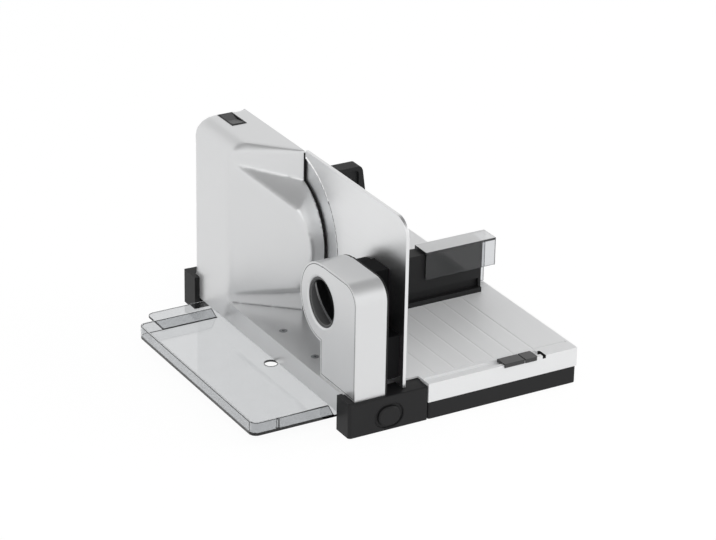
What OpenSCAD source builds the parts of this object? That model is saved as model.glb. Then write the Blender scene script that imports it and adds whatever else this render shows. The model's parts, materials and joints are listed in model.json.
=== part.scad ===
// Electric food slicer with a round blade, drawn as an assembly of separate parts.
// Lengths are millimetres and +Z is up. The user stands at -Y, the blade turns
// about X, the carriage runs along Y and the slices fall on the tray at -X.
// Every part is drawn on a bench whose zero is the front left foot of the base,
// and on_bench() moves it so that the middle of the whole outline is zero.

/* [Blade and drive] */
// diameter of the round blade
blade_d = 170; // [150:1:172]
// waves around the cutting edge
wave_n = 64; // [40:2:66]
// teeth of the gear on the blade shaft
gear_teeth = 68; // [60:2:68]
// teeth of the pinion on the motor
pinion_teeth = 12; // [12:1:14]

/* [Slice thickness] */
// thickest slice, which is the travel of the gauge plate
slice_max = 19; // [8:0.5:19]
// radius of the adjusting knob
knob_r = 25; // [22:0.5:25.5]
// thickness of the gauge plate
plate_t = 3.6; // [2.4:0.2:3.8]

/* [Carriage] */
// grooves in the table
groove_n = 6; // [3:1:6]
// distance between two grooves
groove_pitch = 22.45; // [18:0.5:22.5]
// height of the carriage wall above the floor
wall_top = 93.8; // [88:0.5:93.8]
// height of the thumb guard above the floor
guard_top = 204.5; // [190:0.5:206]

/* [Base and tray] */
// whole length of the base from front to back
base_l = 346.5; // [330:0.5:360]
// wall of the base beam
beam_wall = 2.5; // [2:0.5:4]
// width of the tray to the left of the base
tray_w = 90; // [80:1:90]
// radius of a rubber foot
foot_r = 7; // [5:0.5:7]

/* [Hidden] */

$fn = 72;
over = 1;             // overrun of a cut past the face it opens
gap = 0.3;            // air between two parts that move against each other
run_fit = 0.05;       // radial clearance of a shaft in its bearing
seat_fit = 0.02;      // radial clearance of a part that is pressed or glued in

black = "#2b2b2d";
silver = "#c3c5c7";
steel = "#d9dbdd";
smoke = "#6d7478";

// outline of the whole machine on the bench
table_right = 255;
slider_front = -1.25;
mid_x = (table_right - tray_w) / 2;
mid_y = (base_l + slider_front) / 2;

// base caps
floor_gap = 0.8;
cap_left = -2.5;
cap_right = 84.5;
cap_top = 36;
cap_back = 23.7;
cap_back_right = 19.7;
cap_corner_r = 3.2;
cap_edge_r = 2;
flange_right = 3;
front_flange_top = 37.5;
rear_flange_top = 37.8;
rear_cap_l = 26.2;
rear_front = base_l - rear_cap_l;
cap_chamfer = 2.4;

// base beam
beam_left = 3;
beam_right = 61;
beam_bottom = 14;
beam_top = cap_top;
screw_x = 20.4;
screw_ys = [107.3, 172.1];
screw_head_r = 4.25;
screw_head_h = 2.2;
screw_r = 2;
screw_l = 17;
screw_boss_r = 5;
slot_w = 0.7;
slot_depth = 1;

// ledges of the caps that carry the tray
ledge_left = 5;
ledge_right = 57;
ledge_bottom = 8.5;
ledge_top = 10.9;
front_ledge_end = 32;
rear_ledge_l = 10.3;
rear_ledge_front = rear_front - rear_ledge_l;

// push button in the front cap
button_x = 42;
button_z = 15.1;
recess_r = 12.2;
recess_half = 3.2;
recess_depth = 1.8;
recess_bevel = 0.9;
button_r = 10;
button_half = 2;
button_front = -1.2;
button_bevel = 1.4;
button_wall_back = 6;
button_flange = [27, 18];
button_flange_t = 1.7;
button_stem_r = 2.5;
button_stem_end = 15;
cavity_half_x = 14.5;
cavity_half_z = 10.6;
micro_half_x = 10;
micro_front = 13;
micro_back = 23.5;
micro_top = 23;
micro_bore_depth = 6;

// guide rod of the carriage
rod_x = 75;
rod_z = 27;
rod_r = 4;
rod_front = 11;
rod_end_in = 17.5;
rod_end = base_l - rod_end_in;

// slab that carries the table
rest_left = 84.8;
rest_right = 254.5;
rest_in = 3.5;
rest_back = base_l - rest_in;
rest_top = 18.5;
rest_wall = 3;
rest_corner_r = 3;
rest_flange_left = 56.5;
rest_flange_front = 24.3;
rest_flange_top = 16;
rest_flange_t = 3;
rib_t = 2.4;
rib_nx = 5;
rib_ny = 10;

// rubber feet
foot_h = 2.8;
foot_cap_x = 12;
foot_cap_in = 12;
foot_rest_x = 240;
foot_rest_in = 15;
foot_boss_r = 9;

// blade and its axis
house_in = 15.5;
house_back = base_l - house_in;
axis_in = 105.6;
axis_y = house_back - axis_in;
axis_z = 117.4;
blade_r = blade_d / 2;
blade_back = 62.6;
blade_face = 64;
edge_w = 5;
edge_t = 0.3;
wave_depth = 1.2;
wave_half = 3.9;
wave_r = (wave_half * wave_half + wave_depth * wave_depth) / (2 * wave_depth);
shaft_r = 5;
shaft_left = 26;
shaft_collar_r = 12;
shaft_collar_l = 61.9;
shaft_nose_r = 7;
lock_r = 17;
lock_face = 67.6;
lock_bevel = 1.2;
lock_stem_r = 2.5;
lock_stem_end = 52;
coin_slot = [20, 2.2, 1.6];
bush_r = 8;
bush_left = 48;
bush_right = 59;

// gear pair between motor and blade
tooth_module = 1;
gear_left = 36;
gear_right = 44;
pinion_left = 36.5;
pinion_right = 43.5;
thin_share = 0.24;
flank = 20;
tip_share = 0.8;
root_share = 1.25;
centre_l = tooth_module * (gear_teeth + pinion_teeth) / 2;
motor_y = axis_y + centre_l;

// motor
can_left = 13.5;
can_right = 33;
can_r = 22;
can_wall = 2;
core_r = 15;
core_left = 18;
core_right = 28.5;
core_slot_n = 8;
core_slot_w = 2.6;
core_slot_in = 10;
motor_shaft_r = 2.5;
motor_shaft_left = 14;
motor_shaft_right = 45;
cradle_r = 25;
cradle_depth = 7;

// motor housing
house_left = 3;
house_right = 60;
house_bottom = cap_top;
house_top = 209;
house_wall = 2.5;
house_top_r = 19;
apex_in = 77.5;
apex = [5.4, house_back - apex_in];
hood_right_in = 126.4;
hood_right_y = house_back - hood_right_in;
hood_front_in = 205.3;
hood_front_y = house_back - hood_front_in;
apex_up = 71.6;
apex_top = axis_z + apex_up;
hood_tilt = 28.85;
hood_turn = -116.8;
ridge_in = 73.5;
ridge = [11, house_back - ridge_in];
ridge_tilt = 49.7;
ridge_turn = -137.2;
blade_bare = 21.2;
ring_r = blade_r - blade_bare;
ring_block_in = 116;
ring_block_y = house_back - ring_block_in;
plate_slope = (apex.y - hood_front_y) / (house_right - apex.x);
back_slope = (apex.y - hood_right_y) / (house_right - apex.x);
post_r = 4.5;
post_bore_r = 1.5;
post_bore_l = 12;
post_in = 11;
post_up = 12;
post_low = 37;
post_high = 14;
posts = [
    [house_back - post_in, house_bottom + post_up], [house_back - post_in, house_top - post_low],
    [axis_y, house_bottom + post_up], [axis_y, house_top - post_high],
];

// black frame that closes the housing behind the blade
frame_right = 61.6;
frame_left = house_right;
frame_lip = 0.2;
frame_in = 1.6;
frame_boss_r = 12;
frame_boss_left = 46;
frame_screw_head_r = 3;

// rocker switch in the top of the housing
rocker_x = 36.45;
rocker_in = 19.25;
rocker_y = house_back - rocker_in;
rocker_axis_down = 3;
rocker_axis_z = house_top - rocker_axis_down;
rocker_half_x = 6.35;
rocker_half_y = 14;
rocker_mid_up = 2;
rocker_end_up = 3.6;
rocker_mid_down = 1.8;
rocker_end_down = 0.6;
rocker_pin_r = 1.15;
rocker_pin_l = 1;
bezel_half_x = 8.15;
bezel_half_y = 16.25;
bezel_in_x = 6.65;
bezel_in_y = 14.75;
bezel_down = 6.2;
bezel_bottom = house_top - bezel_down;
bezel_up = 0.4;
bezel_top = house_top + bezel_up;
body_h = 16.8;
body_bottom = bezel_bottom - body_h;
body_tab = [0.8, 6.3, 7];
body_tab_y = [-9, 0, 9];

// column with the adjusting knob
col_left = 5.6;
col_right = 39;
col_front = 4;
col_back = 71;
col_top = 153;
col_front_r = 20;
col_wall = 2.5;
boss_y = 71.4;
boss_z = 112.2;
boss_r = 40.1;
back_right = 41;
knob_y = 71;
knob_z = 112.6;
knob_hole_fit = 0.08;
knob_hole_bevel = 1;
knob_sink = 0.2;
knob_face = col_left + knob_hole_bevel + knob_sink;
knob_floor = 16.4;
knob_back = 18.4;
knob_rim = 2.9;
knob_flange_r = 28.5;
knob_flange = [col_left + col_wall + gap, 10.6];
grip_w = 4;
grip_crown_r = 88;
grip_angle = 42;
spindle_r = 8;
spindle_end = 40;
thread_pitch = 4;
thread_depth = 0.6;
guide_rib_t = 2.5;
guide_rib_top = 78;

// gauge plate and its carrier
plate_left = 60.6;
plate_right = plate_left + plate_t;
plate_front = 8;
plate_bottom = 36.4;
plate_rise = 1;
plate_top = house_top + plate_rise;
plate_front_r = 19;
plate_tail_in = 22.3;
plate_top_back = axis_y - plate_tail_in;
plate_clear = 3;
plate_bevel = 1.6;
plate_clear_r = blade_r + plate_clear;
drum_r = 33.5;
drum_left = 41.5;
drum_wall = 3;
drum_floor = 3;
nut_stop = gap;
nut_left = knob_back + slice_max + nut_stop;
nut_right = 59.4;
nut_r = 12;
nut_bore_r = 8.1;
tower_y = [38, 66];
tower_z = [100, 149.5];
tongue_y = [15, 58];
tongue_z = [46, 77.7];
tongue_stop = 1.4;
tongue_left = col_left + col_wall + slice_max + tongue_stop;
tongue_wall = 3;
bridge_top = 90;

// carriage table
table_left = 66.2;
table_notch_x = 85;
table_notch_y = 21;
table_in = 11.5;
table_back = base_l - table_in;
table_top = 38.7;
table_t = 2.4;
skirt_t = 2.5;
skirt_bottom = 18.8;
groove_x = 101.7;
groove_w = 3;
groove_depth = 0.45;
groove_r = (groove_w * groove_w / 4 + groove_depth * groove_depth) / (2 * groove_depth);
groove_z = table_top - groove_depth + groove_r;
cross_y = 17;
cross_x = [88, 252];
channel_x = [86, 214.6];
channel_y = [4.6, 13.5];
channel_floor = 2.4;
latch_slot_w = 3.7;
latch_slot_back = 11.4;
latch_slot_bottom = 35.5;

// slider in the channel at the front of the table
slider_x = [170, 193.2];
cover_x = [194.1, 208];
slider_lip_back = -0.3;
slider_lip_z = 36;
slider_top = 40.2;
slider_gap = 0.4;
slider_end_r = 1.6;

// carriage wall with the thumb guard
wall_left = 68.5;
wall_right = 239.6;
wall_in = 70.4;
wall_front = axis_y - wall_in;
wall_foot_step = 2;
wall_foot_front = wall_front - wall_foot_step;
wall_t = 17;
wall_back = wall_front + wall_t;
wall_foot_top = 44;
wall_band_top = 54;
wall_band_in = 4;
wall_end_t = 3;
guard_x = [97.7, 101, 108];
guard_bend_down = 23.5;
guard_bend_up = 36.2;
guard_t = 15;
guard_back = wall_front + guard_t;
guard_corner_r = 4;
guard_foot_r = 27;
guard_frame = 4;
guard_panel_depth = 2.5;
wall_skin = 3;
wall_rib_n = 5;

// runners under the table
bush_x = [67.5, 83];
bush_z0 = 20;
bush_l = 20;
bush_in = [75.4, 13.4];
pad_x = [236, 250];
pad_l = 24;
pad_in = 40;
pad_ys = [pad_in, table_back - pad_in - pad_l];

// remnant holder that straddles the wall
holder_x = [172, 254.4];
holder_gap = 0.4;
holder_wall = 2.4;
holder_top = [wall_top + holder_gap, wall_top + holder_gap + holder_wall];
holder_front_in = wall_front - holder_gap;
holder_front = holder_front_in - holder_wall;
holder_back_in = wall_back + holder_gap;
holder_back = holder_back_in + holder_wall;
holder_lip_down = 27.3;
holder_lip_z = wall_top - holder_lip_down;
holder_back_up = 1.3;
holder_back_z = table_top + holder_back_up;
pusher_l = 53;
pusher_y = holder_back + pusher_l;
pusher_t = 3;
pusher_h = [28, 52];
spike_r = 1.1;
spike_l = 5;
spike_pitch = [13, 10];
spike_n = [4, 2];
spike_from = [8, 6];

// slice tray
tray_left = -tray_w;
tray_front = 29;
tray_in = 73;
tray_back = base_l - tray_in;
tray_floor = 11.2;
tray_top = 25;
tray_t = 2.2;
tray_wall_top_x = -8;
tray_wall_foot_x = -1;
tray_corner_r = 8;
tray_tongue_x = 55;
tray_rear_left = -62;
tray_rear_in = 33.5;
tray_rear_back = base_l - tray_rear_in;
tray_hole = [-2.5, 155];
tray_hole_r = 6.5;
tray_rib_x = -63;

// gland of the mains lead, on the back of the housing
gland_x = 30;
gland_z = 52;
gland_r = [7.5, 5.5, 3.6];
gland_l = [3, 14];

// Helpers

module on_bench() {
    translate([-mid_x, -mid_y, 0]) children();
}

// box between two corners
module block(lo, hi) {
    translate(lo) cube(hi - lo);
}

// outline in Y and Z, drawn out along X
module along_x(x0, x1) {
    translate([x0, 0, 0]) rotate([90, 0, 90]) linear_extrude(x1 - x0) children();
}

// outline in X and Z, drawn out along Y
module along_y(y0, y1) {
    translate([0, y1, 0]) rotate([90, 0, 0]) linear_extrude(y1 - y0) children();
}

module along_z(z0, z1) {
    translate([0, 0, z0]) linear_extrude(z1 - z0) children();
}

// round bar along X through a point in Y and Z
module bar_x(x0, x1, r, at, r_end = -1) {
    translate([x0, at[0], at[1]]) rotate([0, 90, 0])
        cylinder(h = x1 - x0, r1 = r, r2 = r_end < 0 ? r : r_end);
}

// round bar along Y through a point in X and Z
module bar_y(y0, y1, r, at, r_end = -1) {
    translate([at[0], y0, at[1]]) rotate([-90, 0, 0])
        cylinder(h = y1 - y0, r1 = r, r2 = r_end < 0 ? r : r_end);
}

// what a corner at zero loses when it is rounded
module corner_cut(r) {
    if (r > 0) difference() {
        translate([-over, -over]) square(r + over);
        translate([r, r]) circle(r);
    }
}

// rectangle whose corners are rounded: low-low, high-low, high-high, low-high
module soft_rect(lo, hi, radii) {
    difference() {
        translate(lo) square(hi - lo);
        translate(lo) corner_cut(radii[0]);
        translate([hi[0], lo[1]]) mirror([1, 0]) corner_cut(radii[1]);
        translate(hi) rotate(180) corner_cut(radii[2]);
        translate([lo[0], hi[1]]) mirror([0, 1]) corner_cut(radii[3]);
    }
}

function all_four(r) = [r, r, r, r];

// oval with straight sides, lying along the first axis
module oval(at, r, half) {
    translate(at) {
        translate([-half, 0]) circle(r);
        translate([half, 0]) circle(r);
        translate([-half, -r]) square([2 * half, 2 * r]);
    }
}

// oval that widens or narrows evenly between two places along Y
module oval_cone(y0, y1, r0, r1, half, at) {
    for (d = [-half, half]) bar_y(y0, y1, r0, [at[0] + d, at[1]], r1);
    along_x(at[0] - half, at[0] + half) translate([0, at[1]])
        polygon([[y0, -r0], [y1, -r1], [y1, r1], [y0, r0]]);
}

// cross recess of a screw whose head ends at zero
module cross_slot(reach) {
    cube([reach, slot_w, 2 * slot_depth], center = true);
    cube([slot_w, reach, 2 * slot_depth], center = true);
}

// everything beyond a tilted plane through a point
module beyond(at, tilt, turn) {
    side = 4 * blade_d;
    translate(at) rotate([0, tilt, turn]) translate([-side / 2, -side / 2, 0]) cube(side);
}

// Base

// one cap of the base: body with rounded edges, seen from its outer end
module cap_form(y0, y1, right_y, outer_is_front, flange_top) {
    r = cap_corner_r;
    e = cap_edge_r;
    plan_r = outer_is_front ? [r, e, 0, 0] : [0, 0, e, r];
    side_r = outer_is_front ? [0, 0, 0, e] : [0, cap_chamfer, e, 0];
    intersection() {
        along_z(floor_gap, flange_top) soft_rect([cap_left, y0], [cap_right, y1], plan_r);
        union() {
            along_x(cap_left, cap_right) soft_rect([y0, floor_gap], [y1, cap_top], side_r);
            along_x(cap_left, flange_right) soft_rect([y0, floor_gap], [y1, flange_top], side_r);
        }
        union() {
            block([cap_left, y0, 0], [beam_right + gap, y1, flange_top]);
            block([cap_left, min(y0, right_y), 0], [cap_right, max(y1, right_y), flange_top]);
        }
    }
}

module foot_pocket(at) {
    translate([at[0], at[1], floor_gap - over])
        cylinder(h = foot_h - floor_gap + over, r = foot_r + seat_fit);
}

module front_cap() color(black) on_bench() {
    difference() {
        cap_form(0, cap_back, cap_back_right, true, front_flange_top);
        block([beam_right + gap, cap_back_right, 0], [cap_right + over, cap_back + over, cap_top + over]);
        along_y(-over, recess_depth) oval([button_x, button_z], recess_r, recess_half);
        oval_cone(
            -over, recess_bevel, recess_r + recess_bevel + over, recess_r, recess_half,
            [button_x, button_z]
        );
        along_y(-over, cap_back + over) oval([button_x, button_z], button_r + gap, button_half);
        block(
            [button_x - cavity_half_x, button_wall_back, button_z - cavity_half_z],
            [button_x + cavity_half_x, cap_back + over, button_z + cavity_half_z]
        );
        bar_y(rod_front, cap_back + over, rod_r + seat_fit, [rod_x, rod_z]);
        foot_pocket([foot_cap_x, foot_cap_in]);
    }
    block(
        [ledge_left, cap_back - over, ledge_bottom],
        [button_x - cavity_half_x, front_ledge_end, ledge_top]
    );
}

module rear_cap() color(black) on_bench() {
    difference() {
        union() {
            cap_form(rear_front, base_l, rear_front, false, rear_flange_top);
            block(
                [flange_right, house_back + gap, cap_top - over],
                [house_right, base_l - cap_edge_r, rear_flange_top]
            );
        }
        bar_y(rear_front - over, rod_end, rod_r + seat_fit, [rod_x, rod_z]);
        foot_pocket([foot_cap_x, base_l - foot_cap_in]);
    }
    block([ledge_left, rear_ledge_front, ledge_bottom], [ledge_right, rear_front + over, ledge_top]);
}

module base_beam() color(silver) on_bench() {
    difference() {
        union() {
            difference() {
                block([beam_left, cap_back, beam_bottom], [beam_right, rear_front, beam_top]);
                block(
                    [beam_left + beam_wall, cap_back - over, beam_bottom + beam_wall],
                    [beam_right - beam_wall, rear_front + over, beam_top - beam_wall]
                );
            }
            for (y = screw_ys)
                translate([screw_x, y, beam_bottom]) cylinder(h = beam_top - beam_bottom, r = screw_boss_r);
        }
        for (y = screw_ys) translate([screw_x, y, 0]) {
            translate([0, 0, beam_top - screw_l]) cylinder(h = screw_l + over, r = screw_r + seat_fit);
            translate([0, 0, beam_top - screw_head_h])
                cylinder(h = screw_head_h, r1 = screw_r + seat_fit, r2 = screw_head_r + seat_fit);
        }
    }
}

module beam_screws() color(steel) on_bench() {
    for (y = screw_ys) translate([screw_x, y, 0]) difference() {
        union() {
            translate([0, 0, beam_top - screw_l]) cylinder(h = screw_l - screw_head_h, r = screw_r);
            translate([0, 0, beam_top - screw_head_h])
                cylinder(h = screw_head_h, r1 = screw_r, r2 = screw_head_r);
        }
        translate([0, 0, beam_top]) cross_slot(2 * screw_r);
    }
}

module carriage_rest() color(black) on_bench() {
    inner = [rest_right - rest_left - 2 * rest_wall, rest_back - 2 * rest_wall];
    cell = [(inner.x - (rib_nx - 1) * rib_t) / rib_nx, (inner.y - (rib_ny - 1) * rib_t) / rib_ny];
    difference() {
        union() {
            along_z(floor_gap, rest_top)
                soft_rect([rest_left, 0], [rest_right, rest_back], all_four(rest_corner_r));
            block(
                [beam_right + gap, rest_flange_front, rest_flange_top - rest_flange_t],
                [rest_left + rest_wall, rear_front, rest_flange_top]
            );
            block(
                [rest_flange_left, rest_flange_front, beam_bottom - rest_flange_t],
                [rest_left + rest_wall, rear_front, beam_bottom]
            );
        }
        difference() {
            for (i = [0 : rib_nx - 1], j = [0 : rib_ny - 1])
                translate([
                    rest_left + rest_wall + i * (cell.x + rib_t),
                    rest_wall + j * (cell.y + rib_t),
                    floor_gap - over
                ])
                    cube([cell.x, cell.y, rest_top - rest_wall - floor_gap + over]);
            for (y = [foot_rest_in, rest_back - foot_rest_in])
                translate([foot_rest_x, y, 0]) cylinder(h = rest_top, r = foot_boss_r);
        }
        for (y = [foot_rest_in, rest_back - foot_rest_in]) foot_pocket([foot_rest_x, y]);
    }
}

module rubber_feet() color("#1c1c1d") on_bench() {
    for (p = [
        [foot_cap_x, foot_cap_in], [foot_cap_x, base_l - foot_cap_in],
        [foot_rest_x, foot_rest_in], [foot_rest_x, rest_back - foot_rest_in],
    ])
        translate(p) cylinder(h = foot_h, r = foot_r);
}

module guide_rod() color(steel) on_bench() {
    bar_y(rod_front, rod_end, rod_r, [rod_x, rod_z]);
}

module cord_gland() color(black) on_bench() {
    at = [gland_x, gland_z];
    difference() {
        union() {
            bar_y(house_back, house_back + gland_l[0], gland_r[0], at);
            bar_y(house_back, house_back + gland_l[1], gland_r[0], at, gland_r[1]);
        }
        bar_y(house_back - over, house_back + gland_l[1] + over, gland_r[2], at);
    }
}

// Motor housing

// form of the housing; inset moves each of its faces inward by that much
module housing_form(inset, right) {
    top = house_top - inset;
    bottom = house_bottom + inset;
    hood_shift = inset * sqrt(1 + plate_slope * plate_slope);
    back_shift = inset * sqrt(1 + back_slope * back_slope);
    left = house_left + inset;
    beyond_x = right - apex.x;
    flat_r = house_top_r - inset;
    intersection() {
        along_z(bottom, top) polygon([
            [left, house_back - inset], [left, apex.y + back_shift - back_slope * (left - apex.x)],
            [right, apex.y + back_shift - back_slope * beyond_x], [right, house_back - inset],
        ]);
        along_y(hood_front_y, house_back) soft_rect([left, bottom], [right, top], [0, 0, 0, flat_r]);
        difference() {
            block([left, hood_front_y, bottom], [right, house_back, top]);
            beyond([ridge.x, ridge.y + back_shift, house_top - inset], ridge_tilt, ridge_turn);
        }
    }
    intersection() {
        difference() {
            along_z(bottom, top) polygon([
                [left, apex.y + hood_shift - plate_slope * (left - apex.x)],
                [right, apex.y + hood_shift - plate_slope * beyond_x],
                [right, apex.y + back_shift - back_slope * beyond_x + over],
                [left, apex.y + back_shift - back_slope * (left - apex.x) + over],
            ]);
            beyond([apex.x, apex.y, apex_top - inset / cos(hood_tilt)], hood_tilt, hood_turn);
            translate([0, 0, axis_z]) mirror([0, 0, 1]) translate([0, 0, -axis_z])
                beyond([apex.x, apex.y, apex_top - inset / cos(hood_tilt)], hood_tilt, hood_turn);
        }
        union() {
            bar_x(left, right, ring_r - inset, [axis_y, axis_z]);
            block([left, ring_block_y, bottom], [right, house_back, top]);
        }
    }
}

module motor_housing() color(silver) on_bench() difference() {
    union() {
        difference() {
            housing_form(0, house_right);
            housing_form(house_wall, house_right + over);
        }
        intersection() {
            housing_form(0, house_right);
            union() {
                for (p = posts) bar_x(house_left, house_right, post_r, p);
                difference() {
                    bar_x(house_left, can_left + cradle_depth, cradle_r, [motor_y, axis_z]);
                    bar_x(can_left, house_right, can_r + seat_fit, [motor_y, axis_z]);
                }
            }
        }
    }
    for (p = posts) bar_x(house_right - post_bore_l, house_right + over, post_bore_r + seat_fit, p);
    along_z(house_top - house_wall - over, house_top + over) translate([rocker_x, rocker_y])
        square([2 * bezel_half_x + seat_fit, 2 * bezel_half_y + seat_fit], center = true);
}

module gear_frame() color(black) on_bench() difference() {
    union() {
        along_x(frame_left, frame_right) {
            soft_rect(
                [hood_right_y - frame_lip, house_bottom], [house_back - frame_in, house_top - frame_in],
                all_four(frame_in)
            );
            intersection() {
                translate([axis_y, axis_z]) circle(ring_r + frame_lip);
                translate([hood_front_y, house_bottom])
                    square([axis_y - hood_front_y, house_top - house_bottom]);
            }
        }
        bar_x(frame_boss_left, frame_left, frame_boss_r, [axis_y, axis_z]);
    }
    bar_x(frame_boss_left - over, bush_right, bush_r + seat_fit, [axis_y, axis_z]);
    bar_x(bush_right - over, frame_right + over, shaft_nose_r + gap, [axis_y, axis_z]);
    for (p = posts) {
        bar_x(frame_left - over, frame_right + over, post_bore_r + seat_fit, p);
        bar_x(frame_left, frame_right, post_bore_r + seat_fit, p, frame_screw_head_r + seat_fit);
    }
}

module frame_screws() color(steel) on_bench() {
    for (p = posts) difference() {
        union() {
            bar_x(house_right - post_bore_l + over, frame_left, post_bore_r, p);
            bar_x(frame_left, frame_right, post_bore_r, p, frame_screw_head_r);
        }
        translate([frame_right, p[0], p[1]]) rotate([0, 90, 0]) cross_slot(frame_screw_head_r);
    }
}

module blade_bush() color("#a8874f") on_bench() difference() {
    bar_x(bush_left, bush_right, bush_r, [axis_y, axis_z]);
    bar_x(bush_left - over, bush_right + over, shaft_r + run_fit, [axis_y, axis_z]);
}

// Switch and motor

module switch_bezel() color(black) on_bench() difference() {
    along_z(bezel_bottom, bezel_top) difference() {
        translate([rocker_x, rocker_y]) square([2 * bezel_half_x, 2 * bezel_half_y], center = true);
        translate([rocker_x, rocker_y]) square([2 * bezel_in_x, 2 * bezel_in_y], center = true);
    }
    bar_x(
        rocker_x - bezel_in_x - rocker_pin_l, rocker_x + bezel_in_x + rocker_pin_l,
        rocker_pin_r + run_fit, [rocker_y, rocker_axis_z]
    );
}

module switch_body() color("#3a3a3c") on_bench() {
    block(
        [rocker_x - bezel_half_x, rocker_y - bezel_half_y, body_bottom],
        [rocker_x + bezel_half_x, rocker_y + bezel_half_y, bezel_bottom]
    );
    for (d = body_tab_y)
        block(
            [rocker_x - body_tab.y / 2, rocker_y + d - body_tab.x / 2, body_bottom - body_tab.z],
            [rocker_x + body_tab.y / 2, rocker_y + d + body_tab.x / 2, body_bottom]
        );
}

module power_rocker() color("#1f1f20") on_bench() {
    ends = rocker_half_y;
    along_x(rocker_x - rocker_half_x, rocker_x + rocker_half_x)
        translate([rocker_y, rocker_axis_z]) polygon([
            [-ends, -rocker_end_down], [0, -rocker_mid_down], [ends, -rocker_end_down],
            [ends, rocker_end_up], [0, rocker_mid_up], [-ends, rocker_end_up],
        ]);
    reach = bezel_in_x + rocker_pin_l - gap;
    bar_x(rocker_x - reach, rocker_x + reach, rocker_pin_r, [rocker_y, rocker_axis_z]);
}

module motor_can() color("#8f9295") on_bench() difference() {
    bar_x(can_left, can_right, can_r, [motor_y, axis_z]);
    bar_x(can_left + can_wall, can_right - can_wall, can_r - can_wall, [motor_y, axis_z]);
    bar_x(can_left + gap, can_right + over, motor_shaft_r + run_fit, [motor_y, axis_z]);
}

module motor_rotor() color("#9a5b34") on_bench() {
    difference() {
        bar_x(core_left, core_right, core_r, [motor_y, axis_z]);
        for (i = [0 : core_slot_n - 1])
            translate([0, motor_y, axis_z]) rotate([i * 360 / core_slot_n, 0, 0])
                block(
                    [core_left - over, core_slot_in, -core_slot_w / 2],
                    [core_right + over, core_r + over, core_slot_w / 2]
                );
    }
    bar_x(motor_shaft_left, motor_shaft_right, motor_shaft_r, [motor_y, axis_z]);
}

// toothed outline; one tooth points at the angle first
module toothed(teeth, first) {
    pitch_r = tooth_module * teeth / 2;
    root_r = pitch_r - root_share * tooth_module;
    tip_r = pitch_r + tip_share * tooth_module;
    half = 45 * tooth_module * (1 - thin_share) / 180 * PI;
    tip_half = half - tip_share * tooth_module * tan(flank);
    root_half = half + root_share * tooth_module * tan(flank);
    circle(root_r);
    for (i = [0 : teeth - 1]) rotate(first + i * 360 / teeth) polygon([
        [root_r - root_half, -root_half], [pitch_r, -half], [tip_r, -tip_half],
        [tip_r, tip_half], [pitch_r, half], [root_r - root_half, root_half],
    ]);
}

module motor_pinion() color("#c9b27a") on_bench() difference() {
    along_x(pinion_left, pinion_right) translate([motor_y, axis_z])
        toothed(pinion_teeth, 180 + 180 / pinion_teeth);
    bar_x(pinion_left - over, pinion_right + over, motor_shaft_r + seat_fit, [motor_y, axis_z]);
}

module blade_gear() color("#e4e0d2") on_bench() difference() {
    along_x(gear_left, gear_right) translate([axis_y, axis_z]) toothed(gear_teeth, 0);
    bar_x(gear_left - over, gear_right + over, shaft_r + seat_fit, [axis_y, axis_z]);
}

// Blade

module blade_outline(r) {
    difference() {
        circle(r);
        for (i = [0 : wave_n - 1]) rotate(i * 360 / wave_n)
            translate([r + wave_r - wave_depth, 0]) circle(wave_r);
    }
}

module blade() color(steel) on_bench() difference() {
    intersection() {
        along_x(blade_back, blade_face) translate([axis_y, axis_z]) blade_outline(blade_r);
        translate([blade_back, axis_y, axis_z]) rotate([0, 90, 0]) rotate_extrude() polygon([
            [0, 0], [blade_r + over, 0], [blade_r + over, edge_t], [blade_r, edge_t],
            [blade_r - edge_w, blade_face - blade_back], [0, blade_face - blade_back],
        ]);
    }
    bar_x(blade_back - over, blade_face + over, shaft_nose_r + seat_fit, [axis_y, axis_z]);
}

module blade_shaft() color("#b9bbbd") on_bench() difference() {
    union() {
        bar_x(shaft_left, shaft_collar_l, shaft_r, [axis_y, axis_z]);
        bar_x(bush_right + gap, blade_face, shaft_nose_r, [axis_y, axis_z]);
        bar_x(shaft_collar_l, blade_back, shaft_collar_r, [axis_y, axis_z]);
    }
    bar_x(lock_stem_end - over, blade_face + over, lock_stem_r + seat_fit, [axis_y, axis_z]);
}

module blade_lock() color(steel) on_bench() difference() {
    union() {
        bar_x(blade_face, lock_face - lock_bevel, lock_r, [axis_y, axis_z]);
        bar_x(lock_face - lock_bevel, lock_face, lock_r, [axis_y, axis_z], lock_r - lock_bevel);
        bar_x(lock_stem_end, blade_face, lock_stem_r, [axis_y, axis_z]);
    }
    translate([lock_face, axis_y, axis_z])
        cube([2 * coin_slot[2], coin_slot[0], coin_slot[1]], center = true);
}

// Column, knob and gauge plate

module column_outline(inset) {
    r = col_front_r - inset;
    soft_rect([col_front + inset, cap_top + inset], [col_back - inset, col_top - inset], [0, 0, 0, r]);
    translate([boss_y, boss_z]) circle(boss_r - inset);
}

module column_shell() color(silver) on_bench() {
    difference() {
        along_x(col_left, col_right) column_outline(0);
        along_x(col_left + col_wall, col_right + over) column_outline(col_wall);
        bar_x(col_left - over, col_right, knob_r + knob_hole_fit, [knob_y, knob_z]);
        bar_x(
            col_left - over, col_left + knob_hole_bevel, knob_r + knob_hole_fit + knob_hole_bevel + over,
            [knob_y, knob_z], knob_r + knob_hole_fit
        );
    }
    for (y = [tongue_y[0] - gap - guide_rib_t, tongue_y[1] + gap])
        block([col_left + col_wall, y, cap_top + col_wall], [col_right, y + guide_rib_t, guide_rib_top]);
}

module column_back_opening() {
    translate([knob_y, knob_z]) circle(drum_r + 2 * gap);
    for (pair = [[tower_y, tower_z], [tongue_y, [tongue_z[0], bridge_top]]])
        translate([pair[0][0] - 2 * gap, pair[1][0] - 2 * gap])
            square([pair[0][1] - pair[0][0] + 4 * gap, pair[1][1] - pair[1][0] + 4 * gap]);
}

module column_back() color(black) on_bench() along_x(col_right, back_right) difference() {
    column_outline(0);
    column_back_opening();
}

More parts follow.
